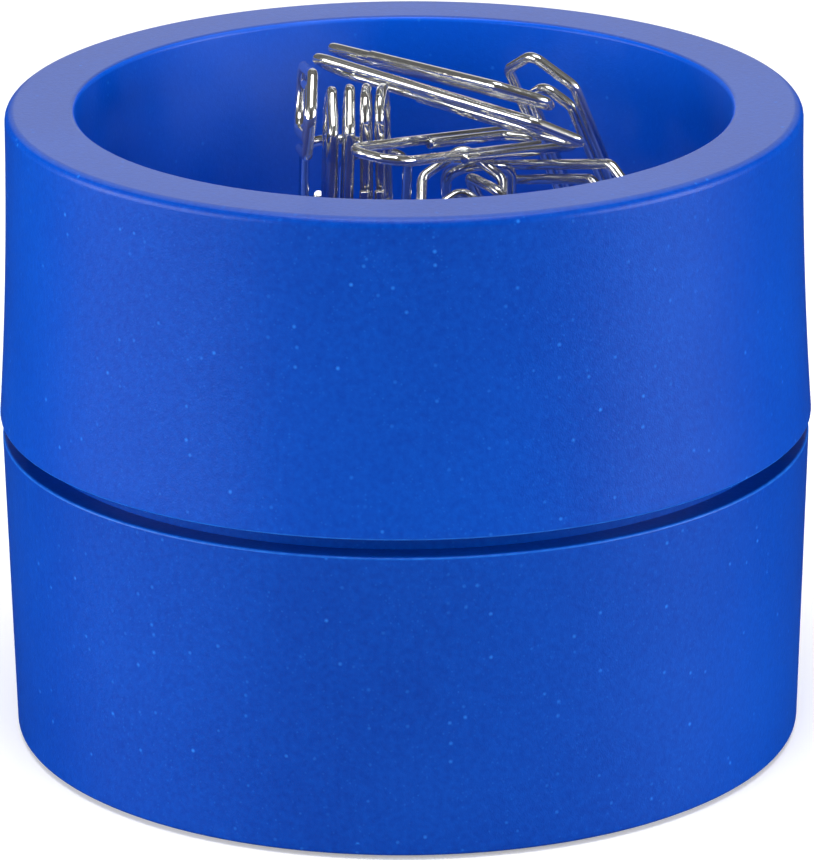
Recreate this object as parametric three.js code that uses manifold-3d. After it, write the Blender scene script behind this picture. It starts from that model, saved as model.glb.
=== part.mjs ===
// Round paper clip holder: a matte cup on a matte base, with a magnet under the bowl's floor that
// keeps a heap of bent wire clips together. Millimetres, +Z up. The origin is the middle of the
// foot pad's underside.

import * as THREE from 'three';
import { mergeVertices } from 'three/addons/utils/BufferGeometryUtils.js';
import Module from 'manifold-3d';

const wasm = await Module();
wasm.setup();

// Wire clip. Its wire sets every other size of the clip and of the heap.
const wireDiameter = 1;
const clipLength = 28 * wireDiameter;
const clipWidth = 8.2 * wireDiameter;
const legSpacing = 1.35 * wireDiameter;
const noseBend = 1.2 * wireDiameter;
const tailBend = 2.4 * wireDiameter;
const innerNoseBack = 4.2 * wireDiameter;
const outerLegStart = 8 * wireDiameter;
const innerLegEnd = 10.5 * wireDiameter;
const noseSlope = 50;

// Heights above the table
const rimHeight = 58;
const grooveTop = 29.7;
const grooveGap = 1.6;
const bowlFloor = 31;
const shellLift = 0.3;

// Radii, from the bowl outwards and down: the bowl's mouth takes a clip lying flat
const bowlSpare = 1.3;
const rimWidth = 6.25;
const waistFlare = 1.05;
const ledgeInset = 0.2;
const baseTaper = 0.75;
const bowlMouthRadius = clipLength + bowlSpare;
const rimRadius = bowlMouthRadius + rimWidth;
const skirtRadius = rimRadius + waistFlare;
const baseTopRadius = skirtRadius - ledgeInset;
const baseFootRadius = baseTopRadius - baseTaper;

// Bowl
const bowlDraft = 0.7;
const bowlFootRadius = bowlMouthRadius - bowlDraft;
const bowlCornerRadius = 3;
const bowlFloorWall = 1.6;

// Walls, edges and the shadow groove
const shellWall = 2;
const bowlWall = 1.9;
const rimOuterFillet = 0.9;
const rimInnerFillet = 0.5;
const lipFillet = 0.25;
const footFillet = 0.4;
const neckClearance = 0.4;
const neckWall = 1.8;
const neckRise = 1.2;

// Magnet and its steel backing
const magnetRadius = 12.5;
const magnetThickness = 5;
const backingThickness = 1.2;
const pocketClearance = 0.3;
const pocketWall = 1.6;
const pocketEndGap = 0.4;

// Deck inside the base, with the pad that holds the magnet up
const deckWall = 2;
const deckPadInset = 2.5;
const deckPadHeight = 1;

// Base plate and foot pad
const footPadThickness = 1.2;
const footPadInset = 2.65;
const basePlateThickness = 3;
const basePlateClearance = 0.3;

// Screws and their bosses
const screwCount = 3;
const screwShankRadius = 1.1;
const screwHeadRadius = 2.6;
const screwHeadHeight = 1.5;
const screwCrown = 0.5;
const screwShankLength = 8;
const screwHoleClearance = 0.5;
const screwSinkClearance = 0.5;
const screwPilotClearance = 0.25;
const screwEndRoom = 1;
const bossWall = 1.9;
const deckBossInset = 0.35;
const baseBossInset = 2.75;
const deckScrewStart = 90;
const baseScrewStart = 30;
const cutThrough = 1;

// Fineness of the round forms
const shellSides = 60;
const discSides = 36;
const screwSides = 12;
const boreSides = 16;
const wireSides = 6;

const degrees = Math.PI / 180;

// Materials
const matteBlue = { color: 0x0a44c4, roughness: 0.62, metalness: 0 };
const looks = {
  upper_shell: matteBlue,
  lower_shell: matteBlue,
  base_plate: { color: 0x0a3a9e, roughness: 0.7, metalness: 0 },
  foot_pad: { color: 0x16181c, roughness: 0.95, metalness: 0 },
  magnet: { color: 0x2b2b2e, roughness: 0.6, metalness: 0.3 },
  steel: { color: 0x9aa0a6, roughness: 0.35, metalness: 1 },
  clip: { color: 0xc9ccd0, roughness: 0.2, metalness: 1 },
};

const holder = new THREE.Group();

function addPiece(name, geometry, look, parent = holder) {
  const mesh = new THREE.Mesh(geometry, new THREE.MeshStandardMaterial(look));
  mesh.name = name;
  parent.add(mesh);
  return mesh;
}

// A solid of revolution about Z from [radius, height] points
function turned(profile, sides) {
  const points = profile.map(([radius, height]) => new THREE.Vector2(radius, height));
  return new THREE.LatheGeometry(points, sides).rotateX(Math.PI / 2);
}

// Points of an arc about [radius, height], angles in degrees from the outward direction
function arc(radius, height, bend, from, to, steps) {
  return Array.from({ length: steps + 1 }, (_, i) => {
    const angle = (from + ((to - from) * i) / steps) * degrees;
    return [radius + bend * Math.cos(angle), height + bend * Math.sin(angle)];
  });
}

// An upright round bar from one height to another, for bosses and holes
function bar(radius, bottom, top, sides = boreSides) {
  return turned([[0, bottom], [radius, bottom], [radius, top], [0, top]], sides);
}

function toSolid(geometry) {
  const bare = geometry.clone();
  bare.deleteAttribute('normal');
  bare.deleteAttribute('uv');
  const merged = mergeVertices(bare, 1e-5);
  const corners = merged.index.array;
  const triVerts = [];
  for (let i = 0; i < corners.length; i += 3) {
    const [a, b, c] = corners.subarray(i, i + 3);
    if (a !== b && b !== c && c !== a) triVerts.push(a, b, c);
  }
  const vertProperties = new Float32Array(merged.attributes.position.array);
  return new wasm.Manifold(
    new wasm.Mesh({ numProp: 3, vertProperties, triVerts: new Uint32Array(triVerts) }));
}

function toGeometry(solid) {
  const { vertProperties, triVerts } = solid.getMesh();
  const geometry = new THREE.BufferGeometry();
  geometry.setAttribute('position', new THREE.BufferAttribute(new Float32Array(vertProperties), 3));
  geometry.setIndex(new THREE.BufferAttribute(new Uint32Array(triVerts), 1));
  geometry.computeVertexNormals();
  return geometry;
}

// Copies of a geometry round the Z axis, each as a solid
function ringOf(geometry, circle, startAngle) {
  return Array.from({ length: screwCount }, (_, i) => {
    const angle = (startAngle + (360 * i) / screwCount) * degrees;
    return toSolid(geometry.clone().translate(circle * Math.cos(angle), circle * Math.sin(angle), 0));
  });
}

const join = (body, extras) => extras.reduce((sum, extra) => sum.add(extra), body);
const cut = (body, tools) => tools.reduce((rest, tool) => rest.subtract(tool), body);

// Heights that follow from the stack of magnet, backing and deck under the bowl
const floorUnderside = bowlFloor - bowlFloorWall;
const magnetBottom = floorUnderside - magnetThickness;
const backingBottom = magnetBottom - backingThickness;
const deckTop = backingBottom - deckPadHeight;
const deckBottom = deckTop - deckWall;
const basePlateTop = footPadThickness + basePlateThickness;
const ledgeHeight = grooveTop - grooveGap;

const screwHoleRadius = screwShankRadius + screwHoleClearance;
const pilotRadius = screwShankRadius + screwPilotClearance;
const bossRadius = pilotRadius + bossWall;
const neckRadius = skirtRadius - shellWall - neckClearance;
const footPadRadius = baseFootRadius - shellWall - footPadInset;
const deckPadRadius = magnetRadius - deckPadInset;
const deckScrewCircle = bowlFootRadius - bowlCornerRadius - bossRadius - deckBossInset;
const baseScrewCircle = footPadRadius - bossRadius - baseBossInset;

// The cup's waisted outside: its flare grows with the square of the way down from the rim
function cupRadius(height) {
  const down = (rimHeight - height) / (rimHeight - grooveTop);
  return rimRadius + waistFlare * down * down;
}

const baseRadius = (height) =>
  baseFootRadius + (baseTaper * (height - shellLift)) / (ledgeHeight - shellLift);

// Upper shell: outer wall, flat rim and bowl in one moulding, hollow between its walls, with a
// magnet pocket and three screw bosses under the floor
function upperShell() {
  const rimUnderside = rimHeight - shellWall;
  const flareSteps = 7;
  const flareLow = grooveTop + lipFillet;
  const flareHigh = rimHeight - rimOuterFillet;
  const flare = Array.from({ length: flareSteps + 1 }, (_, i) => {
    const height = flareLow + ((flareHigh - flareLow) * i) / flareSteps;
    return [cupRadius(height), height];
  });
  const inside = [rimUnderside, (rimUnderside + grooveTop) / 2, grooveTop]
    .map((height) => [cupRadius(height) - shellWall, height]);
  const pocketInside = magnetRadius + pocketClearance;
  const pocketOutside = pocketInside + pocketWall;
  const pocketEnd = backingBottom + pocketEndGap;
  const profile = [
    [0, floorUnderside],
    [pocketInside, floorUnderside],
    [pocketInside, pocketEnd],
    [pocketOutside, pocketEnd],
    [pocketOutside, floorUnderside],
    ...arc(bowlFootRadius - bowlCornerRadius, bowlFloor + bowlCornerRadius,
      bowlCornerRadius + bowlFloorWall, -90, 0, 2),
    [bowlMouthRadius + bowlWall, rimUnderside],
    ...inside,
    ...arc(skirtRadius - lipFillet, grooveTop + lipFillet, lipFillet, -90, -30, 2),
    ...flare,
    ...arc(rimRadius - rimOuterFillet, rimHeight - rimOuterFillet, rimOuterFillet, 22.5, 90, 3),
    ...arc(bowlMouthRadius + rimInnerFillet, rimHeight - rimInnerFillet, rimInnerFillet, 90, 180, 3),
    ...arc(bowlFootRadius - bowlCornerRadius, bowlFloor + bowlCornerRadius, bowlCornerRadius, 0, -90, 5),
    [0, bowlFloor],
  ];
  const bosses = ringOf(bar(bossRadius, deckTop, floorUnderside + bowlFloorWall / 2),
    deckScrewCircle, deckScrewStart);
  const pilots = ringOf(bar(pilotRadius, deckTop - cutThrough, deckBottom + screwShankLength + screwEndRoom / 2),
    deckScrewCircle, deckScrewStart);
  return toGeometry(cut(join(toSolid(turned(profile, shellSides)), bosses), pilots));
}

// Lower shell: tapered outer wall, ledge, the neck that stands behind the shadow groove, and a
// deck that carries the magnet and takes both sets of screws
function lowerShell() {
  const neckTop = grooveTop + neckRise;
  const wallInsideLow = baseRadius(shellLift) - shellWall;
  const wallInsideHigh = baseRadius(deckBottom) - shellWall;
  const profile = [
    [0, deckBottom],
    [wallInsideHigh, deckBottom],
    [wallInsideLow, shellLift],
    ...arc(baseFootRadius - footFillet, shellLift + footFillet, footFillet, -90, 0, 3),
    ...arc(baseTopRadius - lipFillet, ledgeHeight - lipFillet, lipFillet, 0, 90, 3),
    [neckRadius, ledgeHeight],
    [neckRadius, neckTop],
    [neckRadius - neckWall, neckTop],
    [neckRadius - neckWall, deckTop],
    [deckPadRadius, deckTop],
    [deckPadRadius, backingBottom],
    [0, backingBottom],
  ];
  const bosses = ringOf(bar(bossRadius, basePlateTop, deckBottom + deckWall / 2),
    baseScrewCircle, baseScrewStart);
  const pilotTop = footPadThickness + screwHeadHeight + screwShankLength + screwEndRoom;
  const pilots = ringOf(bar(pilotRadius, basePlateTop - cutThrough, pilotTop),
    baseScrewCircle, baseScrewStart);
  const holes = ringOf(bar(screwHoleRadius, deckBottom - cutThrough, deckTop + cutThrough),
    deckScrewCircle, deckScrewStart);
  return toGeometry(cut(join(toSolid(turned(profile, shellSides)), bosses), [...pilots, ...holes]));
}

// Base plate: closes the base from below, with a sunk hole for each screw head
function basePlate() {
  const radius = baseRadius(footPadThickness) - shellWall - basePlateClearance;
  const seat = footPadThickness + screwHeadHeight;
  const holes = ringOf(bar(screwHoleRadius, 0, basePlateTop + cutThrough),
    baseScrewCircle, baseScrewStart);
  const sinks = ringOf(bar(screwHeadRadius + screwSinkClearance, 0, seat), baseScrewCircle, baseScrewStart);
  return toGeometry(cut(toSolid(bar(radius, footPadThickness, basePlateTop, shellSides)),
    [...holes, ...sinks]));
}

// Self-tapping screw pointing up, with the underside of its head at height zero
function screw() {
  const tip = screwShankRadius;
  return turned([
    [0, -screwHeadHeight],
    [screwHeadRadius - screwCrown, -screwHeadHeight],
    [screwHeadRadius, screwCrown - screwHeadHeight],
    [screwHeadRadius, 0],
    [screwShankRadius, 0],
    [screwShankRadius, screwShankLength - tip],
    [0, screwShankLength],
  ], screwSides);
}

function addScrews(name, circle, startAngle, seatHeight) {
  for (let i = 0; i < screwCount; i += 1) {
    const angle = (startAngle + (360 * i) / screwCount) * degrees;
    const piece = addPiece(`${name}_${i + 1}`, screw(), looks.steel);
    piece.position.set(circle * Math.cos(angle), circle * Math.sin(angle), seatHeight);
  }
}

// Centre line of the bent wire in its own plane: nose to +X, legs one beside the other. Each
// station is a point and the direction of the wire there.
function wireStations() {
  const end = (clipLength - wireDiameter) / 2;
  const side = (clipWidth - wireDiameter) / 2;
  const innerSide = side - legSpacing;
  const noseTip = end + noseBend * (1 / Math.sin(noseSlope * degrees) - 1);
  const innerTip = noseTip - innerNoseBack;
  const noseCorner = noseTip - side / Math.tan(noseSlope * degrees);
  const innerCorner = innerTip - innerSide / Math.tan(noseSlope * degrees);
  const corners = [
    { x: outerLegStart - end, y: -side, bend: 0, steps: 0 },
    { x: noseCorner, y: -side, bend: noseBend, steps: 2 },
    { x: noseTip, y: 0, bend: noseBend, steps: 3 },
    { x: noseCorner, y: side, bend: noseBend, steps: 2 },
    { x: -end, y: side, bend: tailBend, steps: 3 },
    { x: -end, y: -innerSide, bend: tailBend, steps: 3 },
    { x: innerCorner, y: -innerSide, bend: noseBend, steps: 2 },
    { x: innerTip, y: 0, bend: noseBend, steps: 3 },
    { x: innerCorner, y: innerSide, bend: noseBend, steps: 2 },
    { x: innerLegEnd - end, y: innerSide, bend: 0, steps: 0 },
  ];
  const stations = [];
  corners.forEach((corner, i) => {
    const here = new THREE.Vector3(corner.x, corner.y, 0);
    const back = corners[i - 1];
    const next = corners[i + 1];
    const arrive = back && here.clone().sub(new THREE.Vector3(back.x, back.y, 0)).normalize();
    const leave = next && new THREE.Vector3(next.x, next.y, 0).sub(here).normalize();
    if (!back || !next) {
      stations.push({ point: here, tangent: arrive || leave });
      return;
    }
    const turn = Math.atan2(arrive.x * leave.y - arrive.y * leave.x, arrive.dot(leave));
    const cutBack = corner.bend * Math.tan(Math.abs(turn) / 2);
    const centre = here.clone().addScaledVector(arrive, -cutBack).addScaledVector(
      new THREE.Vector3(-arrive.y, arrive.x, 0), corner.bend * Math.sign(turn));
    for (let step = 0; step <= corner.steps; step += 1) {
      const angle = (turn * step) / corner.steps;
      const tangent = arrive.clone().applyAxisAngle(new THREE.Vector3(0, 0, 1), angle);
      const outward = new THREE.Vector3(tangent.y, -tangent.x, 0).multiplyScalar(Math.sign(turn));
      stations.push({ point: centre.clone().addScaledVector(outward, corner.bend), tangent });
    }
  });
  return stations;
}

// A path through the stations, so that the straight legs cost one step each
class WirePath extends THREE.Curve {
  constructor(stations) {
    super();
    this.stations = stations;
  }

  at(share) {
    return this.stations[Math.round(share * (this.stations.length - 1))];
  }

  getPointAt(share) {
    return this.at(share).point.clone();
  }

  getTangentAt(share) {
    return this.at(share).tangent.clone();
  }
}

function clipGeometry() {
  const section = new THREE.Shape(Array.from({ length: wireSides }, (_, i) => {
    const angle = (2 * Math.PI * i) / wireSides;
    return new THREE.Vector2(Math.cos(angle), Math.sin(angle)).multiplyScalar(wireDiameter / 2);
  }));
  const stations = wireStations();
  return new THREE.ExtrudeGeometry(section, {
    steps: stations.length - 1,
    extrudePath: new WirePath(stations),
    bevelEnabled: false,
  });
}

// The heap: the middle of each clip from the middle of the bowl's floor, in wire widths, then its
// turn about Z, the tip of its nose end and its roll along its own length, in degrees
const heap = [
  // Four upright, side by side
  { name: 'clip_01', place: [-6.9, 1, 14.3], turn: 0, tip: 88, roll: 4 },
  { name: 'clip_02', place: [-5.3, 0.6, 14.6], turn: -1, tip: 88, roll: 3 },
  { name: 'clip_03', place: [-3.4, 0.2, 14.4], turn: 1, tip: -90, roll: 3 },
  { name: 'clip_04', place: [-1.8, 0.6, 14.3], turn: 0, tip: -89, roll: 5 },
  // Leaning forward at the back
  { name: 'clip_05', place: [-2.2, 14.6, 10.8], turn: 92, tip: -48, roll: 0 },
  { name: 'clip_06', place: [-5.7, 16, 12.2], turn: 92, tip: -45, roll: 2 },
  { name: 'clip_07', place: [7.5, 10.4, 11.4], turn: 89, tip: -45, roll: -7 },
  // Leaning at the front and the right
  { name: 'clip_08', place: [4.8, -8.8, 12.4], turn: 87, tip: 48, roll: 2 },
  { name: 'clip_09', place: [15, -4.6, 11], turn: 155, tip: 42, roll: 45 },
  // Low at the front left
  { name: 'clip_10', place: [-11.4, -9.8, 7], turn: 79, tip: 7, roll: 84 },
  { name: 'clip_11', place: [1, -14.6, 9], turn: 20, tip: 31, roll: 40 },
  // Across the right side
  { name: 'clip_12', place: [12.3, 3.3, 16.6], turn: -51, tip: 13, roll: 93 },
  // Bridging the middle
  { name: 'clip_13', place: [5.8, 0.5, 22.8], turn: 52, tip: -9, roll: 2 },
  // Nose up at the right
  { name: 'clip_14', place: [15.4, 8.3, 19.4], turn: 239, tip: 56, roll: -6 },
  // On edge at the left
  { name: 'clip_15', place: [-8.8, 0.9, 26.1], turn: -87, tip: 14, roll: 85 },
  // Two stacked on top
  { name: 'clip_16', place: [4.2, -0.2, 27.1], turn: -34, tip: -6, roll: 151 },
  { name: 'clip_17', place: [3.2, 2.2, 28.9], turn: -48, tip: 2, roll: -25 },
];

function addClips() {
  const clips = new THREE.Group();
  clips.position.z = bowlFloor;
  holder.add(clips);
  for (const { name, place, turn, tip, roll } of heap) {
    const piece = addPiece(name, clipGeometry(), looks.clip, clips);
    piece.position.set(...place).multiplyScalar(wireDiameter);
    piece.rotation.set(roll * degrees, -tip * degrees, turn * degrees, 'ZYX');
  }
}

addPiece('upper_shell', upperShell(), looks.upper_shell);
addPiece('lower_shell', lowerShell(), looks.lower_shell);
addPiece('base_plate', basePlate(), looks.base_plate);
addPiece('foot_pad', bar(footPadRadius, 0, footPadThickness, shellSides), looks.foot_pad);
addPiece('magnet', bar(magnetRadius, magnetBottom, floorUnderside, discSides), looks.magnet);
addPiece('backing_disc', bar(magnetRadius, backingBottom, magnetBottom, discSides), looks.steel);
addScrews('deck_screw', deckScrewCircle, deckScrewStart, deckBottom);
addScrews('base_screw', baseScrewCircle, baseScrewStart, footPadThickness + screwHeadHeight);
addClips();

export default holder;
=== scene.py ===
# %% [markdown]
# A round paper clip holder, lesson by lesson. It is a matte plastic cup on a matte plastic base,
# with a shadow groove between the two. A magnet under the bowl keeps a heap of bent wire clips
# standing and leaning together. Each cell says what a piece or finish is on the real object,
# then makes it.
# The solid model is loaded first. It fixes every size and place, so nothing is fitted by eye.

# %% Load the frame
import math

import bmesh
import bpy
from mathutils import Matrix, Vector


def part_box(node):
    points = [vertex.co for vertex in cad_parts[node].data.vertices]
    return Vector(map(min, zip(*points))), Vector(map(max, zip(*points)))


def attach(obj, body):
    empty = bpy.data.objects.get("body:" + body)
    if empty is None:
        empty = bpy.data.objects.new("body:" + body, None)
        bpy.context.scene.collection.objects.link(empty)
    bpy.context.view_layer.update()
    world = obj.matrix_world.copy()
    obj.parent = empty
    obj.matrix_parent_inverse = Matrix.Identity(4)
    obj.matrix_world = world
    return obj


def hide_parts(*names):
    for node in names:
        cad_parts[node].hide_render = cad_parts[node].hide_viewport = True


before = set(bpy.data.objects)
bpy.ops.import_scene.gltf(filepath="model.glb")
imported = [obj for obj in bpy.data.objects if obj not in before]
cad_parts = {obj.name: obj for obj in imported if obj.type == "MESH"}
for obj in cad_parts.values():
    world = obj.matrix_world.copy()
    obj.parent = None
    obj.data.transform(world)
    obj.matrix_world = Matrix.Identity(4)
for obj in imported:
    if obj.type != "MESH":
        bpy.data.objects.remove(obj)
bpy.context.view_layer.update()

MM = 0.001
scene = bpy.context.scene

# %% [markdown]
# The camera comes before the pieces, so that every look at them is from the right place. The
# reference view looks down by nearly nineteen degrees through a long lens, so the two rims of the
# cup look almost parallel. The long side of the picture sets the field of view, and a small shift
# puts the object where it stands in the frame without tilting the camera.

# %% Camera
PICTURE = (814, 860)
FOCAL_PIXELS = 6600
DISTANCE = 596.5 * MM
LOOK_DOWN = math.radians(18.56)
ROLL = math.radians(-0.325)
AIM = Vector((0, 0, 30 * MM))
CENTRE_PIXEL = (405.63, 401.15)
SENSOR_WIDTH = 36

long_side = max(PICTURE)
camera_data = bpy.data.cameras.new("camera")
camera_data.sensor_width = SENSOR_WIDTH
camera_data.lens = FOCAL_PIXELS * SENSOR_WIDTH / long_side
camera_data.shift_x = (PICTURE[0] / 2 - CENTRE_PIXEL[0]) / long_side
camera_data.shift_y = (CENTRE_PIXEL[1] - PICTURE[1] / 2) / long_side
camera_data.clip_start = 0.05
camera = bpy.data.objects.new("camera", camera_data)
scene.collection.objects.link(camera)
back = Vector((0, -math.cos(LOOK_DOWN), math.sin(LOOK_DOWN)))
camera.matrix_world = (Matrix.Translation(AIM + DISTANCE * back)
                       @ Matrix.Rotation(math.pi / 2 - LOOK_DOWN, 4, "X")
                       @ Matrix.Rotation(ROLL, 4, "Z"))
scene.camera = camera
print("lens, mm:", round(camera_data.lens, 1))

# %% [markdown]
# Node trees are long to write out, so a few small helpers come first. One adds a node and sets
# its values, one does a sum or a comparison, and one blends two colours. Two more start and place
# a node group. A group holds an effect that several finishes share, and each finish gives it its
# own numbers.

# %% Node helpers


def add_node(tree, kind, **values):
    node = tree.nodes.new(kind)
    for key, value in values.items():
        if hasattr(node, key):
            setattr(node, key, value)
        else:
            node.inputs[key.replace("_", " ")].default_value = value
    return node


def feed(tree, source, socket):
    if isinstance(source, bpy.types.NodeSocket):
        tree.links.new(source, socket)
    else:
        socket.default_value = source


def combine(tree, operation, first, second):
    node = add_node(tree, "ShaderNodeMath", operation=operation)
    feed(tree, first, node.inputs[0])
    feed(tree, second, node.inputs[1])
    return node.outputs[0]


def as_source(colour):
    return colour if isinstance(colour, bpy.types.NodeSocket) else (*colour, 1)


def blend_colours(tree, share, first, second):
    node = add_node(tree, "ShaderNodeMix", data_type="RGBA")
    feed(tree, share, node.inputs["Factor"])
    feed(tree, as_source(first), node.inputs["A"])
    feed(tree, as_source(second), node.inputs["B"])
    return node.outputs["Result"]


def start_group(name, inputs, outputs):
    group = bpy.data.node_groups.new(name, "ShaderNodeTree")
    for label, kind, default in inputs:
        socket = group.interface.new_socket(label, in_out="INPUT", socket_type=kind)
        if default is not None:
            socket.default_value = default
    for label, kind in outputs:
        group.interface.new_socket(label, in_out="OUTPUT", socket_type=kind)
    return group, group.nodes.new("NodeGroupInput"), group.nodes.new("NodeGroupOutput")


def use_group(tree, group, **values):
    node = tree.nodes.new("ShaderNodeGroup")
    node.node_tree = group
    for key, value in values.items():
        node.inputs[key.replace("_", " ")].default_value = value
    return node


print("node helpers are ready")

# %% [markdown]
# Soft-touch plastic holds fine pale dust. Close up it shows as scattered soft specks, a fifth of
# a millimetre across, some faint and some bright. A Voronoi texture gives one random point to
# each cell: a speck fades out from the point, but only in the cells whose own random number
# passes a limit, and a second random number sets its strength. A slow noise moves the limit up
# and down, so that the dust lies thicker in some places.

# %% Dust group
dust, dust_in, dust_out = start_group(
    "dust specks",
    [("Vector", "NodeSocketVector", None), ("Scale", "NodeSocketFloat", 1200.0),
     ("Size", "NodeSocketFloat", 0.12), ("Share", "NodeSocketFloat", 0.3)],
    [("Mask", "NodeSocketFloat")])
cells = add_node(dust, "ShaderNodeTexVoronoi", feature="F1")
patches = add_node(dust, "ShaderNodeTexNoise", Scale=60.0, Detail=3.0)
near_point = add_node(dust, "ShaderNodeMapRange", From_Max=0.0)
cell_number = add_node(dust, "ShaderNodeSeparateColor")
dust.links.new(dust_in.outputs["Vector"], cells.inputs["Vector"])
dust.links.new(dust_in.outputs["Scale"], cells.inputs["Scale"])
dust.links.new(dust_in.outputs["Vector"], patches.inputs["Vector"])
dust.links.new(cells.outputs["Distance"], near_point.inputs["Value"])
dust.links.new(dust_in.outputs["Size"], near_point.inputs["From Min"])
dust.links.new(cells.outputs["Color"], cell_number.inputs["Color"])
local_share = combine(dust, "MULTIPLY", patches.outputs["Fac"], dust_in.outputs["Share"])
chosen_cell = combine(dust, "LESS_THAN", cell_number.outputs["Red"], local_share)
speck = combine(dust, "MULTIPLY", near_point.outputs["Result"], chosen_cell)
varied = combine(dust, "MULTIPLY", speck, cell_number.outputs["Green"])
dust.links.new(varied, dust_out.inputs["Mask"])
print("group:", dust.name)

# %% [markdown]
# Moulded plastic copies the fine spark grain of its mould. Two sizes of noise together give that
# grain: one just visible, one finer. The group also puts out an unevenness, because no real
# surface has exactly one colour or one gloss all over: a slow noise, mottled by a finer one. Noise
# keeps near its middle value, so a Map Range node spreads it to the full range.

# %% Grain group
FINER_BY = 2.7
MOTTLE_SHARE = 0.55

grain, grain_in, grain_out = start_group(
    "moulded grain",
    [("Vector", "NodeSocketVector", None), ("Scale", "NodeSocketFloat", 2500.0)],
    [("Height", "NodeSocketFloat"), ("Unevenness", "NodeSocketFloat")])
coarse = add_node(grain, "ShaderNodeTexNoise", Detail=2.0)
fine = add_node(grain, "ShaderNodeTexNoise", Detail=1.0)
slow = add_node(grain, "ShaderNodeTexNoise", Scale=45.0, Detail=4.0)
mottle = add_node(grain, "ShaderNodeTexNoise", Scale=1900.0, Detail=4.0)
mixed = add_node(grain, "ShaderNodeMix", data_type="FLOAT", Factor=MOTTLE_SHARE)
contrast = add_node(grain, "ShaderNodeMapRange", From_Min=0.3, From_Max=0.7)
for texture in (coarse, fine, slow, mottle):
    grain.links.new(grain_in.outputs["Vector"], texture.inputs["Vector"])
finer = combine(grain, "MULTIPLY", grain_in.outputs["Scale"], FINER_BY)
grain.links.new(grain_in.outputs["Scale"], coarse.inputs["Scale"])
grain.links.new(finer, fine.inputs["Scale"])
both = combine(grain, "ADD", coarse.outputs["Fac"], fine.outputs["Fac"])
grain.links.new(both, grain_out.inputs["Height"])
grain.links.new(slow.outputs["Fac"], mixed.inputs["A"])
grain.links.new(mottle.outputs["Fac"], mixed.inputs["B"])
grain.links.new(mixed.outputs["Result"], contrast.inputs["Value"])
grain.links.new(contrast.outputs["Result"], grain_out.inputs["Unevenness"])
print("group:", grain.name)

# %% [markdown]
# Fingers and clips rubbing the inside of the bowl leave a faint pale haze in patches. The mask is
# a slow noise, cut off at the bowl's mouth by the distance from the upright axis, so that the
# outside stays clean. The same cut-off also goes out on its own, so that the finish can paint
# light into the bowl: a brighter blue inside than outside.

# %% Haze group
HAZE_RADIUS = 29.5 * MM

haze, haze_in, haze_out = start_group(
    "bowl haze", [("Vector", "NodeSocketVector", None),
                  ("Radius", "NodeSocketFloat", HAZE_RADIUS),
                  ("Strength", "NodeSocketFloat", 0.1)],
    [("Mask", "NodeSocketFloat"), ("Inside", "NodeSocketFloat")])
flattened = add_node(haze, "ShaderNodeVectorMath", operation="MULTIPLY")
flattened.inputs[1].default_value = (1, 1, 0)
from_axis = add_node(haze, "ShaderNodeVectorMath", operation="LENGTH")
rubbed = add_node(haze, "ShaderNodeTexNoise", Scale=40.0, Detail=3.0)
patch = add_node(haze, "ShaderNodeMapRange", From_Min=0.45, From_Max=0.75)
haze.links.new(haze_in.outputs["Vector"], flattened.inputs[0])
haze.links.new(flattened.outputs["Vector"], from_axis.inputs[0])
haze.links.new(haze_in.outputs["Vector"], rubbed.inputs["Vector"])
haze.links.new(rubbed.outputs["Fac"], patch.inputs["Value"])
haze.links.new(haze_in.outputs["Strength"], patch.inputs["To Max"])
inside_bowl = combine(haze, "LESS_THAN", from_axis.outputs["Value"], haze_in.outputs["Radius"])
kept = combine(haze, "MULTIPLY", patch.outputs["Result"], inside_bowl)
haze.links.new(kept, haze_out.inputs["Mask"])
# The inside mask is used to paint light into the bowl
haze.links.new(inside_bowl, haze_out.inputs["Inside"])
print("group:", haze.name)

# %% [markdown]
# The rounded edges along the groove catch the light, so a thin pale line is painted on each as a
# highlight, on the cup and on the base, at one height each. The mask is a thin band at that height,
# broken up by a noise, so that the painted highlight is not even.

# %% Edge group
EDGE_HALF_WIDTH = 0.12 * MM

# Painted highlight along a groove edge: a pale band at one height
edge_highlight_group, edge_in, edge_out = start_group(
    "painted edge highlight", [("Vector", "NodeSocketVector", None), ("Height", "NodeSocketFloat", 0.0)],
    [("Mask", "NodeSocketFloat")])
upright = add_node(edge_highlight_group, "ShaderNodeSeparateXYZ")
off_line = add_node(edge_highlight_group, "ShaderNodeMath", operation="ABSOLUTE")
band = add_node(edge_highlight_group, "ShaderNodeMapRange", From_Min=EDGE_HALF_WIDTH, From_Max=0.0)
broken = add_node(edge_highlight_group, "ShaderNodeTexNoise", Scale=900.0, Detail=2.0)
edge_highlight_group.links.new(edge_in.outputs["Vector"], upright.inputs["Vector"])
above = combine(edge_highlight_group, "SUBTRACT", upright.outputs["Z"], edge_in.outputs["Height"])
edge_highlight_group.links.new(above, off_line.inputs[0])
edge_highlight_group.links.new(off_line.outputs[0], band.inputs["Value"])
edge_highlight_group.links.new(edge_in.outputs["Vector"], broken.inputs["Vector"])
# The painted highlight, broken up by the noise
broken_highlight = combine(edge_highlight_group, "MULTIPLY", band.outputs["Result"], broken.outputs["Fac"])
edge_highlight_group.links.new(broken_highlight, edge_out.inputs["Mask"])
print("group:", edge_highlight_group.name)

# %% [markdown]
# Every finish starts alike: a new material, its shader, and the place on the object that its
# patterns follow. Every finish also ends alike, with the grain bending the normal a little.

# %% Finish helpers


def start_finish(name):
    material = bpy.data.materials.new(name)
    material.use_nodes = True
    tree = material.node_tree
    place = add_node(tree, "ShaderNodeTexCoord").outputs["Object"]
    return material, tree, tree.nodes["Principled BSDF"], place


def add_relief(tree, shader, surface, bump, depth):
    relief = add_node(tree, "ShaderNodeBump", Strength=bump, Distance=depth)
    tree.links.new(surface.outputs["Height"], relief.inputs["Height"])
    tree.links.new(relief.outputs["Normal"], shader.inputs["Normal"])


print("finish helpers are ready")
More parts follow.
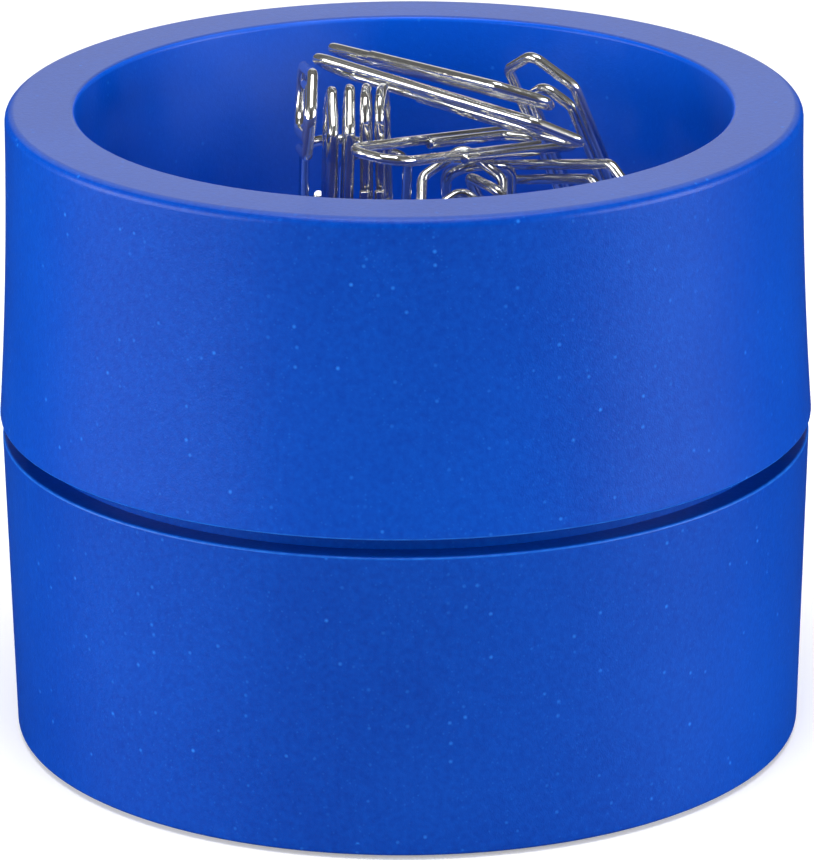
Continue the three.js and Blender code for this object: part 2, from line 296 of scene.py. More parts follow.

# %% [markdown]
# The blue finish is the main one. Its colour is a deep royal blue, and four things change it from
# place to place. The unevenness moves it between two near shades. Inside the bowl a brighter blue
# is painted in as light, standing for the light that the bowl's walls throw at each other. Where a
# face looks up, a painted lavender sheen stands for the overhead light mirrored at a grazing angle,
# which is why the flat rim is paler than the wall; the rubbed haze in the bowl takes the same
# lavender. Last come the pale spots: dust specks, much finer and fainter ones between them, and a
# painted highlight along the edges at the groove. The gloss is low, as on all soft-touch plastic.
# The function takes its numbers as arguments, so that the cup, the base and the hidden plate can
# differ slightly, as real mouldings do.

# %% Plastic finish
PLASTIC_IOR = 1.46
PLASTIC_GLOSS = 0.14
PLASTIC_RELIEF = 0.04 * MM
# Lavender of the painted sheen on faces that look up, and of the real rubbed haze in the bowl
SHEEN_AND_HAZE_COLOUR = (0.38, 0.43, 0.52)
# Brighter blue of the painted light inside the bowl, standing for light thrown between its walls
PAINTED_BOWL_LIGHT_COLOUR = (0.001, 0.13, 0.88)
# How far a face must look up before the painted sheen shows on it
UP_ENOUGH_FOR_SHEEN = 0.7
FINE_SHARE = 0.9
FINE_STRENGTH = 0.25
NO_EDGE = -10.0


# Painted sheen: faces that look up get a lavender share, standing in for the overhead light
# mirrored at a grazing angle.
def painted_sheen_mask(tree, strength):
    facing = add_node(tree, "ShaderNodeNewGeometry")
    upward = add_node(tree, "ShaderNodeSeparateXYZ")
    sheen_share = add_node(tree, "ShaderNodeMapRange", From_Min=UP_ENOUGH_FOR_SHEEN, To_Max=strength)
    tree.links.new(facing.outputs["Normal"], upward.inputs["Vector"])
    tree.links.new(upward.outputs["Z"], sheen_share.inputs["Value"])
    return sheen_share.outputs["Result"]


def plastic(name, deep, light, speck_and_highlight_colour, roughness, dust_share, bump, painted_top_sheen=0.0,
            rubbed_haze=0.0, painted_bowl_light=0.0, edge_height=NO_EDGE):
    material, tree, shader, place = start_finish(name)
    shader.inputs["Roughness"].default_value = roughness
    shader.inputs["IOR"].default_value = PLASTIC_IOR
    shader.inputs["Specular IOR Level"].default_value = PLASTIC_GLOSS
    surface = use_group(tree, grain, Scale=2600.0)
    bowl_masks = use_group(tree, haze, Strength=rubbed_haze)
    specks = use_group(tree, dust, Scale=850.0, Size=0.2, Share=dust_share)
    fine_specks = use_group(tree, dust, Scale=2600.0, Size=0.35, Share=FINE_SHARE)
    painted_edge_highlight = use_group(tree, edge_highlight_group, Height=edge_height * MM)
    for effect in (surface, bowl_masks, specks, fine_specks, painted_edge_highlight):
        tree.links.new(place, effect.inputs["Vector"])

    shade = blend_colours(tree, surface.outputs["Unevenness"], deep, light)
    # Painted light: the inside of the bowl is blended towards a brighter blue
    painted_bowl_light_share = combine(tree, "MULTIPLY", bowl_masks.outputs["Inside"], painted_bowl_light)
    shade = blend_colours(tree, painted_bowl_light_share, shade, PAINTED_BOWL_LIGHT_COLOUR)
    # Painted sheen on faces that look up, together with the real rubbed haze in the bowl
    pale = combine(tree, "MAXIMUM", painted_sheen_mask(tree, painted_top_sheen), bowl_masks.outputs["Mask"])
    shade = blend_colours(tree, pale, shade, SHEEN_AND_HAZE_COLOUR)
    faint_specks = combine(tree, "MULTIPLY", fine_specks.outputs["Mask"], FINE_STRENGTH)
    specks_and_highlight = combine(tree, "MAXIMUM", specks.outputs["Mask"], faint_specks)
    # The painted highlight along the groove edges joins the real dust specks and takes their colour
    specks_and_highlight = combine(tree, "MAXIMUM", specks_and_highlight, painted_edge_highlight.outputs["Mask"])
    shade = blend_colours(tree, specks_and_highlight, shade, speck_and_highlight_colour)
    tree.links.new(shade, shader.inputs["Base Color"])
    add_relief(tree, shader, surface, bump, PLASTIC_RELIEF)
    return material


# The edge heights place the painted highlight on the cup's lower edge and on the base's ledge
CUP_BLUE = plastic("cup soft blue", (0.0001, 0.036, 0.305), (0.0003, 0.062, 0.42),
                   (0.02, 0.19, 0.74), roughness=0.32, dust_share=0.6, bump=0.3, painted_top_sheen=0.15,
                   rubbed_haze=0.12, painted_bowl_light=0.45, edge_height=29.8)
BASE_BLUE = plastic("base soft blue", (0.0001, 0.032, 0.275), (0.0003, 0.056, 0.385),
                    (0.02, 0.18, 0.70), roughness=0.32, dust_share=0.6, bump=0.3,
                    edge_height=27.98)
PLATE_BLUE = plastic("base plate blue", (0.0012, 0.05, 0.34), (0.002, 0.06, 0.38),
                     (0.01, 0.1, 0.45), roughness=0.6, dust_share=0.2, bump=0.5)
print("plastics:", CUP_BLUE.name, BASE_BLUE.name, PLATE_BLUE.name)

# %% [markdown]
# The foot pad is a soft black sheet that stops the holder sliding. Rubber is dark but never pure
# black, almost without gloss, and coarser than the plastic. It is made by the same function with
# other numbers, since dust and lint show on it too.

# %% Rubber finish
RUBBER = plastic("foot pad rubber", (0.012, 0.013, 0.015), (0.02, 0.021, 0.023),
                 (0.06, 0.06, 0.062), roughness=0.85, dust_share=0.25, bump=0.8)
print("rubber:", RUBBER.name)

# %% [markdown]
# Metal takes nearly all its look from what it mirrors, so its own colour stays plain. What sets
# one metal from another is the roughness and its variation. The clips are bright plated wire,
# with faint rub marks where they slide over each other. The hidden screws and disc have duller
# zinc, and the magnet is dark and grainy.

# %% Metal finish
METAL_RELIEF = 0.02 * MM


def metal(name, colour, dull_colour, smooth, rough, scale, bump, metallic=1.0):
    material, tree, shader, place = start_finish(name)
    shader.inputs["Metallic"].default_value = metallic
    surface = use_group(tree, grain, Scale=scale)
    marks = add_node(tree, "ShaderNodeMapRange", From_Min=0.38, From_Max=0.68, To_Min=smooth,
                     To_Max=rough)
    tree.links.new(place, surface.inputs["Vector"])
    tree.links.new(surface.outputs["Unevenness"], marks.inputs["Value"])
    tree.links.new(marks.outputs["Result"], shader.inputs["Roughness"])
    tint = blend_colours(tree, surface.outputs["Unevenness"], colour, dull_colour)
    tree.links.new(tint, shader.inputs["Base Color"])
    add_relief(tree, shader, surface, bump, METAL_RELIEF)
    return material


WIRE = metal("bright clip wire", (0.80, 0.80, 0.77), (0.62, 0.62, 0.60), smooth=0.06, rough=0.18,
             scale=1800.0, bump=0.12, metallic=0.92)
ZINC = metal("zinc plate", (0.62, 0.64, 0.66), (0.5, 0.51, 0.53), smooth=0.3, rough=0.5,
             scale=2400.0, bump=0.3)
MAGNET = metal("sintered magnet", (0.06, 0.06, 0.065), (0.04, 0.04, 0.043), smooth=0.5,
               rough=0.75, scale=3000.0, bump=0.6)
print("metals:", WIRE.name, ZINC.name, MAGNET.name)

# %% [markdown]
# Both mouldings, the plate and the pad are round, so they are turned: a profile of a few corner
# points is spun about the upright axis. The profile has sharp corners. Afterwards a bevel rounds
# each ring of edges by its own radius, which is how a mould maker gives an edge its fillet. A
# profile with every fillet drawn in would need many more points and would hide the real sizes.
# Points on the axis all meet after the spin, so doubles are merged and the normals follow.

# %% Turning helpers
TURN_STEPS = 160
SAME_PLACE = 1e-7
ON_RING = 2e-6
FLAT_FACE_WEIGHT = 100


def turn_profile(corners, steps=TURN_STEPS):
    bm = bmesh.new()
    verts = [bm.verts.new((radius * MM, 0, height * MM)) for radius, height in corners]
    edges = [bm.edges.new(pair) for pair in zip(verts, verts[1:])]
    if corners[0][0] > 0:
        edges.append(bm.edges.new((verts[-1], verts[0])))
    bmesh.ops.spin(bm, geom=verts + edges, cent=(0, 0, 0), axis=(0, 0, 1),
                   angle=2 * math.pi, steps=steps, use_merge=True)
    bmesh.ops.remove_doubles(bm, verts=bm.verts, dist=SAME_PLACE)
    bmesh.ops.recalc_face_normals(bm, faces=bm.faces)
    return bm


def round_ring(bm, radius, height, fillet, segments):
    def on_ring(vert):
        return (abs(math.hypot(vert.co.x, vert.co.y) - radius * MM) < ON_RING
                and abs(vert.co.z - height * MM) < ON_RING)
    ring = [edge for edge in bm.edges if all(on_ring(vert) for vert in edge.verts)]
    bmesh.ops.bevel(bm, geom=ring, offset=fillet * MM, offset_type="OFFSET", affect="EDGES",
                    segments=segments, profile=0.5, material=-1)
    return len(ring)


def finish_piece(bm, name, material, body, smooth_angle=40):
    mesh = bpy.data.meshes.new(name)
    bm.to_mesh(mesh)
    bm.free()
    for face in mesh.polygons:
        face.use_smooth = True
    mesh.set_sharp_from_angle(angle=math.radians(smooth_angle))
    piece = bpy.data.objects.new(name, mesh)
    scene.collection.objects.link(piece)
    mesh.materials.append(material)
    flatter = piece.modifiers.new("flat faces stay flat", "WEIGHTED_NORMAL")
    flatter.keep_sharp = True
    flatter.weight = FLAT_FACE_WEIGHT
    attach(piece, body)
    print(name, len(mesh.polygons), "faces")
    return piece


print("one turn takes", TURN_STEPS, "steps")

# %% [markdown]
# The cup is one moulding: outer wall, flat rim and bowl, hollow in between and open below. Its
# outside is waisted. It is narrowest at the rim and flares ever faster on the way down, so the
# flare follows the square of the distance from the rim. The bowl is drafted a little so that it
# leaves the mould. Under the floor a ring keeps the magnet in place.

# %% Cup sizes, in millimetres
RIM_HEIGHT = 58
GROOVE_TOP = 29.7
RIM_RADIUS = 35.55
SKIRT_RADIUS = 36.6
SHELL_WALL = 2
BOWL_MOUTH = 29.3
BOWL_FOOT = 28.6
BOWL_FLOOR = 31
FLOOR_WALL = 1.6
BOWL_CORNER = 3
MAGNET_RADIUS = 12.5
POCKET_WALL = 1.6
POCKET_PLAY = 0.3
POCKET_STEP = 0.4
BACKING_BOTTOM = 23.2
DECK_TOP = 22.2
BOWL_WALL = 1.9
MIDDLE_HEIGHT = 43
FLARE_STEPS = 14
SKIRT_EDGE = 0.25
RIM_EDGE = 0.9
MOUTH_EDGE = 0.5


def cup_radius(height):
    down = (RIM_HEIGHT - height) / (RIM_HEIGHT - GROOVE_TOP)
    return RIM_RADIUS + (SKIRT_RADIUS - RIM_RADIUS) * down ** 2


print("cup, mm:", 2 * SKIRT_RADIUS, "across, its rim", RIM_HEIGHT, "above the table")

# %% Cup
under_floor = BOWL_FLOOR - FLOOR_WALL
under_rim = RIM_HEIGHT - SHELL_WALL
pocket = MAGNET_RADIUS + POCKET_PLAY
pocket_end = BACKING_BOTTOM + POCKET_STEP
flare_heights = [GROOVE_TOP + (RIM_HEIGHT - GROOVE_TOP) * i / FLARE_STEPS
                 for i in range(FLARE_STEPS + 1)]
cup_profile = [
    (0, under_floor), (pocket, under_floor), (pocket, pocket_end),
    (pocket + POCKET_WALL, pocket_end), (pocket + POCKET_WALL, under_floor),
    (BOWL_FOOT + FLOOR_WALL, under_floor), (BOWL_MOUTH + BOWL_WALL, under_rim),
    (cup_radius(under_rim) - SHELL_WALL, under_rim),
    (cup_radius(MIDDLE_HEIGHT) - SHELL_WALL, MIDDLE_HEIGHT),
    (SKIRT_RADIUS - SHELL_WALL, GROOVE_TOP)]
cup_profile += [(cup_radius(height), height) for height in flare_heights]
cup_profile += [(BOWL_MOUTH, RIM_HEIGHT), (BOWL_FOOT, BOWL_FLOOR), (0, BOWL_FLOOR)]
cup_mesh = turn_profile(cup_profile)
round_ring(cup_mesh, SKIRT_RADIUS, GROOVE_TOP, SKIRT_EDGE, segments=3)
round_ring(cup_mesh, RIM_RADIUS, RIM_HEIGHT, RIM_EDGE, segments=6)
round_ring(cup_mesh, BOWL_MOUTH, RIM_HEIGHT, MOUTH_EDGE, segments=5)
round_ring(cup_mesh, BOWL_FOOT, BOWL_FLOOR, BOWL_CORNER, segments=10)
round_ring(cup_mesh, BOWL_FOOT + FLOOR_WALL, under_floor, BOWL_CORNER + FLOOR_WALL, segments=6)
print("cup:", len(cup_mesh.faces), "faces so far")

# %% [markdown]
# Hidden inside are screw bosses, a drilled deck and a drilled plate. They can be seen when the
# holder is shown taken apart, so they are made too. A boss is turned with its blind hole and
# moved to its place in the ring of screws. A through hole is easier to drill than to plan into
# the faces of a turned disc, so a Boolean modifier cuts it with a plain bar, and its result
# becomes the mesh before anything else is done to the piece.

# %% Ring, boss and drill helpers
SCREW_COUNT = 3
DECK_SCREWS = (22, 90)
BASE_SCREWS = (25, 30)
PILOT_RADIUS = 1.35
BOSS_RADIUS = 3.25
HOLE_RADIUS = 1.6
SINK_RADIUS = 3.1
BORE_STEPS = 32
DRILL_PAST = 1
DECK_BORE_END = 28.7
PLATE_BORE_END = 11.7


def ring_places(circle, first_angle):
    for i in range(SCREW_COUNT):
        angle = math.radians(first_angle + 360 * i / SCREW_COUNT)
        yield Vector((math.cos(angle), math.sin(angle), 0)) * circle * MM


def add_copies(bm, extra, places):
    mesh = bpy.data.meshes.new("copy")
    for place in places:
        moved = extra.copy()
        bmesh.ops.translate(moved, verts=moved.verts, vec=place)
        moved.to_mesh(mesh)
        bm.from_mesh(mesh)
        moved.free()
    bpy.data.meshes.remove(mesh)


def boss(bottom, top, hole_top):
    return turn_profile([(0, hole_top), (PILOT_RADIUS, hole_top), (PILOT_RADIUS, bottom),
                         (BOSS_RADIUS, bottom), (BOSS_RADIUS, top), (0, top)], steps=BORE_STEPS)


def drill(bm, radius, bottom, top, places):
    bars = bmesh.new()
    bar = bmesh.new()
    bmesh.ops.create_cone(bar, cap_ends=True, segments=BORE_STEPS, radius1=radius * MM,
                          radius2=radius * MM, depth=(top - bottom) * MM)
    bmesh.ops.translate(bar, verts=bar.verts, vec=(0, 0, (top + bottom) / 2 * MM))
    add_copies(bars, bar, places)
    solid, cutter = (bpy.data.objects.new(name, bpy.data.meshes.new(name))
                     for name in ("solid", "cutter"))
    bm.to_mesh(solid.data)
    bars.to_mesh(cutter.data)
    for thing in (solid, cutter):
        scene.collection.objects.link(thing)
    cut = solid.modifiers.new("drill", "BOOLEAN")
    cut.operation, cut.solver, cut.object = "DIFFERENCE", "EXACT", cutter
    evaluated = solid.evaluated_get(bpy.context.evaluated_depsgraph_get())
    result = bpy.data.meshes.new_from_object(evaluated)
    drilled = bmesh.new()
    drilled.from_mesh(result)
    for thing in (solid, cutter):
        bpy.data.objects.remove(thing)
    bpy.data.meshes.remove(result)
    for spare in (bm, bars, bar):
        spare.free()
    print("drilled", radius, "mm holes:", len(drilled.faces), "faces")
    return drilled


print("a ring has", SCREW_COUNT, "screws")

# %% Cup with its bosses
add_copies(cup_mesh, boss(DECK_TOP, under_floor + FLOOR_WALL / 2, DECK_BORE_END),
           ring_places(*DECK_SCREWS))
cup = finish_piece(cup_mesh, "cup", CUP_BLUE, "holder")
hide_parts("upper_shell")

# %% [markdown]
# The base tapers towards the table. Its top edge is a narrow ledge, and behind the ledge stands
# the neck that goes up inside the cup. Ledge, neck and the cup's lower edge make the shadow
# groove. It is a real gap in the mesh and not a dark line, so it stays right from every side.

# %% Base sizes, in millimetres
LEDGE_HEIGHT = 28.1
LIFT = 0.3
LEDGE_RADIUS = 36.4
FOOT_RADIUS = 35.65
NECK_RADIUS = 34.2
NECK_WALL = 1.8
NECK_TOP = 30.9
DECK_BOTTOM = 20.2
PLATE_TOP = 4.2
DISC_OVERLAP = 2.5
BOSS_ROOT = 1
FOOT_EDGE = 0.4
LEDGE_EDGE = 0.25


def base_radius(height):
    return FOOT_RADIUS + (LEDGE_RADIUS - FOOT_RADIUS) * (height - LIFT) / (LEDGE_HEIGHT - LIFT)


print("base, mm:", 2 * LEDGE_RADIUS, "across the ledge,", 2 * FOOT_RADIUS, "across the foot")

# %% Base
disc_rest = MAGNET_RADIUS - DISC_OVERLAP
base_mesh = turn_profile([
    (0, DECK_BOTTOM), (base_radius(DECK_BOTTOM) - SHELL_WALL, DECK_BOTTOM),
    (FOOT_RADIUS - SHELL_WALL, LIFT), (FOOT_RADIUS, LIFT), (LEDGE_RADIUS, LEDGE_HEIGHT),
    (NECK_RADIUS, LEDGE_HEIGHT), (NECK_RADIUS, NECK_TOP), (NECK_RADIUS - NECK_WALL, NECK_TOP),
    (NECK_RADIUS - NECK_WALL, DECK_TOP), (disc_rest, DECK_TOP), (disc_rest, BACKING_BOTTOM),
    (0, BACKING_BOTTOM)])
round_ring(base_mesh, FOOT_RADIUS, LIFT, FOOT_EDGE, segments=4)
round_ring(base_mesh, LEDGE_RADIUS, LEDGE_HEIGHT, LEDGE_EDGE, segments=3)
base_mesh = drill(base_mesh, HOLE_RADIUS, DECK_BOTTOM - DRILL_PAST, DECK_TOP + DRILL_PAST,
                  ring_places(*DECK_SCREWS))
add_copies(base_mesh, boss(PLATE_TOP, DECK_BOTTOM + BOSS_ROOT, PLATE_BORE_END),
           ring_places(*BASE_SCREWS))
base = finish_piece(base_mesh, "base", BASE_BLUE, "holder")
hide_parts("lower_shell")

# %% [markdown]
# From below, a plate closes the base and a rubber pad covers most of the plate. The plate has a
# stepped hole for each screw, so that the heads lie flush under the pad. The pad is die-cut
# sheet: its edge is almost sharp, so it gets only a hairline bevel.

# %% Base plate and foot pad
PAD_TOP = 1.2
PAD_RADIUS = 31
HEAD_SEAT = 2.7
PLATE_PLAY = 0.3
PLATE_EDGE = 0.3
PAD_EDGE = 0.15

plate_radius = base_radius(PAD_TOP) - SHELL_WALL - PLATE_PLAY
plate_mesh = turn_profile([(0, PAD_TOP), (plate_radius, PAD_TOP), (plate_radius, PLATE_TOP),
                           (0, PLATE_TOP)])
round_ring(plate_mesh, plate_radius, PAD_TOP, PLATE_EDGE, segments=3)
plate_mesh = drill(plate_mesh, HOLE_RADIUS, 0, PLATE_TOP + DRILL_PAST, ring_places(*BASE_SCREWS))
plate_mesh = drill(plate_mesh, SINK_RADIUS, 0, HEAD_SEAT, ring_places(*BASE_SCREWS))
plate = finish_piece(plate_mesh, "base_plate_moulding", PLATE_BLUE, "holder")
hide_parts("base_plate")

pad_mesh = turn_profile([(0, 0), (PAD_RADIUS, 0), (PAD_RADIUS, PAD_TOP), (0, PAD_TOP)])
round_ring(pad_mesh, PAD_RADIUS, 0, PAD_EDGE, segments=2)
pad = finish_piece(pad_mesh, "foot_pad_sheet", RUBBER, "holder")
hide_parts("foot_pad")

# %% [markdown]
# The magnet, its steel disc and the screws are already right in the solid model. They keep their
# meshes and only get a finish each.

# %% Finishes for the hidden metal


def hidden_finish(name):
    if name == "magnet":
        return MAGNET
    return ZINC if name == "backing_disc" or "screw" in name else None


for name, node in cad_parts.items():
    finish = hidden_finish(name)
    if finish:
        node.data.materials.clear()
        node.data.materials.append(finish)
        print(name, "takes", finish.name)

# %% [markdown]
# A clip is one length of wire with eight bends. A clip former holds the wire and bends it round
# pins, one bend after the other, and the same is done here. A small circle is the end of the
# wire. Extruding it along its heading makes a straight leg, and spinning it about a pin makes a
# bend. Sweeping a curve would be shorter to write, but this way each leg and bend keeps clean
# rings of faces, and the bend radius is exact.
# The corners below lie where the straight legs would cross. The nose is pointed and the tail is
# nearly square, like the clips in the reference.

# %% Clip shape, in millimetres
WIRE_RADIUS = 0.48
WIRE_SIDES = 16
CLIP_END = 13.5
CLIP_SIDE = 3.6
LEG_SPACING = 1.35
NOSE_BEND = 1.2
TAIL_BEND = 2.4
NOSE_SLOPE = math.radians(50)
TIP_SPACING = 4.2
OUTER_END = -5.5
INNER_END = -3
BEND_STEP = math.radians(11)
FEWEST_STEPS = 4
WIRE_END_EDGE = 0.09

inner_side = CLIP_SIDE - LEG_SPACING
nose_tip = CLIP_END + NOSE_BEND * (1 / math.sin(NOSE_SLOPE) - 1)
inner_tip = nose_tip - TIP_SPACING
nose_corner = nose_tip - CLIP_SIDE / math.tan(NOSE_SLOPE)
inner_corner = inner_tip - inner_side / math.tan(NOSE_SLOPE)
CLIP_CORNERS = [
    (OUTER_END, -CLIP_SIDE, 0), (nose_corner, -CLIP_SIDE, NOSE_BEND), (nose_tip, 0, NOSE_BEND),
    (nose_corner, CLIP_SIDE, NOSE_BEND), (-CLIP_END, CLIP_SIDE, TAIL_BEND),
    (-CLIP_END, -inner_side, TAIL_BEND), (inner_corner, -inner_side, NOSE_BEND),
    (inner_tip, 0, NOSE_BEND), (inner_corner, inner_side, NOSE_BEND),
    (INNER_END, inner_side, 0)]


def legs_and_bends(corners):
    points = [Vector((x, y, 0)) for x, y, _ in corners]
    headings = [(b - a).normalized() for a, b in zip(points, points[1:])]
    turns = [math.atan2(a.cross(b).z, a.dot(b)) for a, b in zip(headings, headings[1:])]
    turns = [0, *turns, 0]
    cuts = [bend * math.tan(abs(turn) / 2) for (_, _, bend), turn in zip(corners, turns)]
    for i, heading in enumerate(headings):
        leg = (points[i + 1] - points[i]).length - cuts[i] - cuts[i + 1]
        yield leg * heading * MM, turns[i + 1], corners[i + 1][2] * MM


print("legs, mm:", [round(leg.length / MM, 2) for leg, _, _ in legs_and_bends(CLIP_CORNERS)])

# %% Bend one clip


def only(kind, items):
    return [item for item in items if isinstance(item, kind)]


def bent_clip():
    bm = bmesh.new()
    bmesh.ops.create_circle(bm, segments=WIRE_SIDES, radius=WIRE_RADIUS * MM)
    bmesh.ops.rotate(bm, verts=bm.verts, matrix=Matrix.Rotation(math.pi / 2, 3, "Y"))
    here = Vector((CLIP_CORNERS[0][0], CLIP_CORNERS[0][1], 0)) * MM
    bmesh.ops.translate(bm, verts=bm.verts, vec=here)
    end_ring = bm.edges[:]
    for leg, turn, bend in legs_and_bends(CLIP_CORNERS):
        grown = bmesh.ops.extrude_edge_only(bm, edges=end_ring)["geom"]
        ring_verts = only(bmesh.types.BMVert, grown)
        end_ring = only(bmesh.types.BMEdge, grown)
        bmesh.ops.translate(bm, verts=ring_verts, vec=leg)
        here += leg
        if turn:
            left = Vector((-leg.y, leg.x, 0)).normalized()
            pin = here + left * bend * math.copysign(1, turn)
            steps = max(FEWEST_STEPS, round(abs(turn) / BEND_STEP))
            grown = bmesh.ops.spin(bm, geom=ring_verts + end_ring, cent=pin, axis=(0, 0, 1),
                                   angle=turn, steps=steps)["geom_last"]
            here = pin + Matrix.Rotation(turn, 3, "Z") @ (here - pin)
            end_ring = only(bmesh.types.BMEdge, grown)
    open_ends = [edge for edge in bm.edges if edge.is_boundary]
    bmesh.ops.holes_fill(bm, edges=open_ends, sides=WIRE_SIDES)
    bmesh.ops.bevel(bm, geom=open_ends, offset=WIRE_END_EDGE * MM, offset_type="OFFSET",
                    affect="EDGES", segments=2, profile=0.5, material=-1)
    bmesh.ops.recalc_face_normals(bm, faces=bm.faces)
    return bm


pattern = bent_clip()
print("one clip:", len(pattern.faces), "faces,",
      round(pattern.calc_volume() / MM ** 3, 1), "mm3 of wire")

# %% [markdown]
# The heap follows the solid model clip by clip. Each row gives the middle of a clip from the
# middle of the bowl's floor, then its turn about the upright, the tip of its nose and its roll
# about its own length. The magnet explains the order: some clips stand on end over it, some lean
# outwards on them, and the last ones lie across the top. A clip that can be picked off on its
# own rides on its own body, and the rest ride on the heap.

# %% Heap
HEAP = [
    ("clip_01", (-6.9, 1, 14.3), 0, 88, 4),
    ("clip_02", (-5.3, 0.6, 14.6), -1, 88, 3),
    ("clip_03", (-3.4, 0.2, 14.4), 1, -90, 3),
    ("clip_04", (-1.8, 0.6, 14.3), 0, -89, 5),
    ("clip_05", (-2.2, 14.6, 10.8), 92, -48, 0),
    ("clip_06", (-5.7, 16, 12.2), 92, -45, 2),
    ("clip_07", (7.5, 10.4, 11.4), 89, -45, -7),
    ("clip_08", (4.8, -8.8, 12.4), 87, 48, 2),
    ("clip_09", (15, -4.6, 11), 155, 42, 45),
    ("clip_10", (-11.4, -9.8, 7), 79, 7, 84),
    ("clip_11", (1, -14.6, 9), 20, 31, 40),
    ("clip_12", (12.3, 3.3, 16.6), -51, 13, 93),
    ("clip_13", (5.8, 0.5, 22.8), 52, -9, 2),
    ("clip_14", (15.4, 8.3, 19.4), 239, 56, -6),
    ("clip_15", (-8.8, 0.9, 26.1), -87, 14, 85),
    ("clip_16", (4.2, -0.2, 27.1), -34, -6, 151),
    ("clip_17", (3.2, 2.2, 28.9), -48, 2, -25),
]
OWN_BODY = {"clip_15": "clip_edge", "clip_16": "clip_under", "clip_17": "clip_top"}

for name, place, turn, tip, roll in HEAP:
    pose = (Matrix.Translation((Vector(place) + Vector((0, 0, BOWL_FLOOR))) * MM)
            @ Matrix.Rotation(math.radians(turn), 4, "Z")
            @ Matrix.Rotation(math.radians(-tip), 4, "Y")
            @ Matrix.Rotation(math.radians(roll), 4, "X"))
    placed = pattern.copy()
    bmesh.ops.transform(placed, matrix=pose, verts=placed.verts)
    wire = finish_piece(placed, name + "_wire", WIRE, OWN_BODY.get(name, "clip_heap"),
                        smooth_angle=50)
    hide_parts(name)
    corner = max((Vector(c) - Vector(d)).length for c, d in zip(
        (wire.bound_box[0], wire.bound_box[6]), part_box(name)))
    print("   off the solid by", round(corner / MM, 2), "mm at most")
pattern.free()

# %% [markdown]
# The floor is plain and pale. It has to look white in the picture without lighting the object
# more than the lamps do, so its own light is shown only to the camera and to mirrored rays, and
# it still catches the object's shadow. Near the object it is lit paper. Further out the paper
# turns dark and its own light takes over, so that wide views stay white, and lifted clips aren't
# lit from below. It lies a hair below the foot pad, because two faces in one place flicker.

# %% Floor
FLOOR_GAP = 0.05 * MM
FLOOR_SIZE = 4
FLOOR_NEAR = 0.25
FLOOR_FAR = 0.6

floor_mesh = bmesh.new()
bmesh.ops.create_grid(floor_mesh, x_segments=1, y_segments=1, size=FLOOR_SIZE)
bmesh.ops.translate(floor_mesh, verts=floor_mesh.verts, vec=(0, 0, -FLOOR_GAP))
floor_data = bpy.data.meshes.new("floor")
floor_mesh.to_mesh(floor_data)
floor_mesh.free()
floor = bpy.data.objects.new("floor", floor_data)
scene.collection.objects.link(floor)


def seen_rays(tree):
    path = add_node(tree, "ShaderNodeLightPath")
    seen = combine(tree, "MAXIMUM", path.outputs["Is Camera Ray"], path.outputs["Is Glossy Ray"])
    return combine(tree, "MAXIMUM", seen, path.outputs["Is Transmission Ray"])


def with_distance(tree, distance, near, far):
    node = add_node(tree, "ShaderNodeMapRange", From_Min=FLOOR_NEAR, From_Max=FLOOR_FAR,
                    To_Min=near, To_Max=far)
    tree.links.new(distance, node.inputs["Value"])
    return node.outputs["Result"]


paper, tree, lit_paper, floor_place = start_finish("pale floor")
how_far = add_node(tree, "ShaderNodeVectorMath", operation="LENGTH")
glow = add_node(tree, "ShaderNodeEmission")
total = add_node(tree, "ShaderNodeAddShader")
tree.links.new(floor_place, how_far.inputs[0])
paleness = with_distance(tree, how_far.outputs["Value"], near=0.8, far=0.1)
own_light = with_distance(tree, how_far.outputs["Value"], near=0.3, far=1.0)
shown_light = combine(tree, "MULTIPLY", seen_rays(tree), own_light)
lit_paper.inputs["Roughness"].default_value = 0.9
tree.links.new(paleness, lit_paper.inputs["Base Color"])
tree.links.new(shown_light, glow.inputs["Strength"])
tree.links.new(lit_paper.outputs[0], total.inputs[0])
tree.links.new(glow.outputs[0], total.inputs[1])
tree.links.new(total.outputs[0], tree.nodes["Material Output"].inputs["Surface"])
floor_data.materials.append(paper)
print("the floor is", 2 * FLOOR_SIZE, "m wide")

# %% [markdown]
# The world works like the floor: the camera and the mirror-like wire see a white backdrop, while
# the plastic is lit by a plain grey sky. Higher up the backdrop gives way to a dark ceiling.
# Without it every bend of the wire would mirror white, and the clips would look like plaster.

# %% World
SKY_LIGHT = 0.12

world = bpy.data.worlds.new("studio")
world.use_nodes = True
scene.world = world
tree = world.node_tree
sky = tree.nodes["Background"]
direction = add_node(tree, "ShaderNodeTexCoord")
height = add_node(tree, "ShaderNodeSeparateXYZ")
backdrop = add_node(tree, "ShaderNodeMapRange", From_Min=0.2, From_Max=0.7, To_Min=1.0,
                    To_Max=0.1)
strength = add_node(tree, "ShaderNodeMix", data_type="FLOAT", A=SKY_LIGHT)
tree.links.new(direction.outputs["Generated"], height.inputs["Vector"])
tree.links.new(height.outputs["Z"], backdrop.inputs["Value"])
tree.links.new(seen_rays(tree), strength.inputs["Factor"])
tree.links.new(backdrop.outputs["Result"], strength.inputs["B"])
tree.links.new(strength.outputs["Result"], sky.inputs["Strength"])
sky.inputs["Color"].default_value = (1, 1, 1, 1)
print("the sky lights the plastic at", SKY_LIGHT)

# %% [markdown]
# Two wide soft boxes stand left and right, a little in front. They put one pale band on each side
# of the round wall and leave its middle deeper, as in the reference. A third one overhead lights
# the rim and looks into the bowl. The camera doesn't see the boxes themselves.

# %% Soft boxes


def soft_box(name, place, aim, size, watts):
    data = bpy.data.lights.new(name, "AREA")
    data.shape = "RECTANGLE"
    data.size, data.size_y = size
    data.energy = watts
    lamp = bpy.data.objects.new(name, data)
    lamp.location = place
    lamp.rotation_euler = (Vector(aim) - Vector(place)).to_track_quat("-Z", "Y").to_euler()
    lamp.visible_camera = False
    scene.collection.objects.link(lamp)
    print(name, watts, "W")


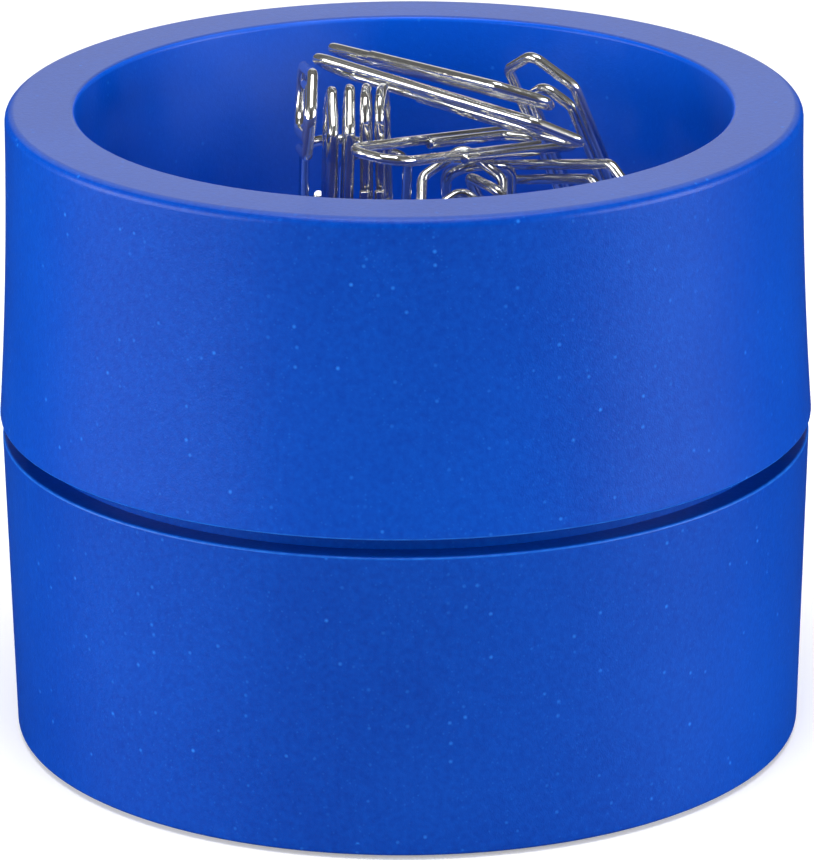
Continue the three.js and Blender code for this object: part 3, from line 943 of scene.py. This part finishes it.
soft_box("left soft box", (-0.65, -0.2, 0.14), (0, 0, 0.03), (0.75, 0.28), 6.2)
soft_box("right soft box", (0.65, -0.18, 0.14), (0, 0, 0.03), (0.5, 0.28), 5.2)
soft_box("top soft box", (0, -0.15, 0.8), (0, 0, 0.05), (0.5, 0.5), 6.3)

# %% [markdown]
# Black cards stand left, right and before the object, and one lies on the floor. They are only
# there to be mirrored: they keep the pale floor out of the gloss, so that the blue stays deep, and
# they give the bright wire its dark lines. They cast no shadow, and the camera doesn't see them.

# %% Mirrored cards
CARD_GREY = 0.01
CARD_SIDE = 0.075
CARD_TOP = 0.25
CARD_BACK = 0.3
CARD_HALF = 0.05
FLAT_HALF = 2.5
FLAT_HEIGHT = -0.02 * MM

card_black = bpy.data.materials.new("black card")
card_black.use_nodes = True
card_paint = card_black.node_tree.nodes["Principled BSDF"]
card_paint.inputs["Base Color"].default_value = (CARD_GREY, CARD_GREY, CARD_GREY, 1)


def dark_card(name, corners):
    board = bmesh.new()
    board.faces.new([board.verts.new(corner) for corner in corners])
    data = bpy.data.meshes.new(name)
    board.to_mesh(data)
    board.free()
    data.materials.append(card_black)
    card = bpy.data.objects.new(name, data)
    scene.collection.objects.link(card)
    card.visible_camera = False
    card.visible_diffuse = False
    card.visible_shadow = False
    print(name, "is mirrored only")


for name, side in (("left card", -CARD_SIDE), ("right card", CARD_SIDE)):
    dark_card(name, [(side, 0, 0), (side, CARD_BACK, 0), (side, CARD_BACK, CARD_TOP),
                     (side, 0, CARD_TOP)])
dark_card("front card", [(-CARD_HALF, -CARD_SIDE, 0), (CARD_HALF, -CARD_SIDE, 0),
                         (CARD_HALF, -CARD_SIDE, CARD_TOP), (-CARD_HALF, -CARD_SIDE, CARD_TOP)])
dark_card("flat card", [(-FLAT_HALF, -FLAT_HALF, FLAT_HEIGHT), (FLAT_HALF, -FLAT_HALF, FLAT_HEIGHT),
                        (FLAT_HALF, FLAT_HALF, FLAT_HEIGHT), (-FLAT_HALF, FLAT_HALF, FLAT_HEIGHT)])

# %% [markdown]
# The view transform decides how a colour reaches the picture. Standard shows it as it is written,
# where Blender's default would bend it towards the look of film.

# %% View transform
scene.view_settings.view_transform = "Standard"
print("view transform:", scene.view_settings.view_transform)
